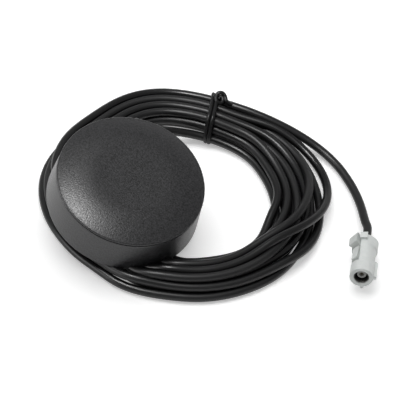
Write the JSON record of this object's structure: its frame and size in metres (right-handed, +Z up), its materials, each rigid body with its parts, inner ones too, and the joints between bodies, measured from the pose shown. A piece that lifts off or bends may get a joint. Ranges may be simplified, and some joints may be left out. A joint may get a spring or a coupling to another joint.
{
  "type": "gps antenna",
  "caption": "Round magnetic-mount antenna puck resting on its own tied coil of thin coaxial cable, with a latching coaxial plug.",
  "frame": {"origin": "middle of the puck's flat base face, which lies tilted on the coil; the floor is below it", "axes": "+Z up from the floor that the coil lies on, +X towards the connector's side, +Y towards the tie"},
  "size_m": [0.1091, 0.0851, 0.0266],
  "materials": {
    "black_moulding": "fine matte grain",
    "black_cable_jacket": "satin PVC",
    "black_rubber": "matte",
    "nickel_magnet": "nickel plated",
    "green_board": "solder mask",
    "plated_steel": "plated",
    "tan_ceramic": "fired",
    "white_foam_tape": "foam",
    "chip_black": "moulded",
    "copper_braid": "braided",
    "white_insulator": "smooth",
    "gold_plate": "plated",
    "pale_grey_moulding": "satin",
    "black_tie_coating": "satin PVC"
  },
  "bodies": {
    "root": {"top_cover": "black_moulding", "housing_body": "black_moulding", "sealing_ring": "black_rubber", "base_magnet": "nickel_magnet", "base_pad": "black_rubber", "circuit_board": "green_board", "board_screw_1": "plated_steel", "board_screw_2": "plated_steel", "board_screw_3": "plated_steel", "ceramic_patch": "tan_ceramic", "patch_tape": "white_foam_tape", "feed_pin": "plated_steel", "shield_can": "plated_steel", "band_filter": "chip_black", "amplifier_chip": "chip_black", "second_amplifier_chip": "chip_black", "cable_grommet": "black_rubber", "cable_jacket_end": "black_cable_jacket", "cable_braid_end": "copper_braid", "cable_core_end": "white_insulator", "cable_lead_in": "black_cable_jacket", "cable_coil": "black_cable_jacket", "cable_lead_out": "black_cable_jacket", "twist_tie": "black_tie_coating", "connector_housing": "pale_grey_moulding", "crimp_sleeve": "plated_steel", "outer_contact": "plated_steel", "contact_insulator": "white_insulator", "centre_contact": "gold_plate"}
  },
  "joints": []
}
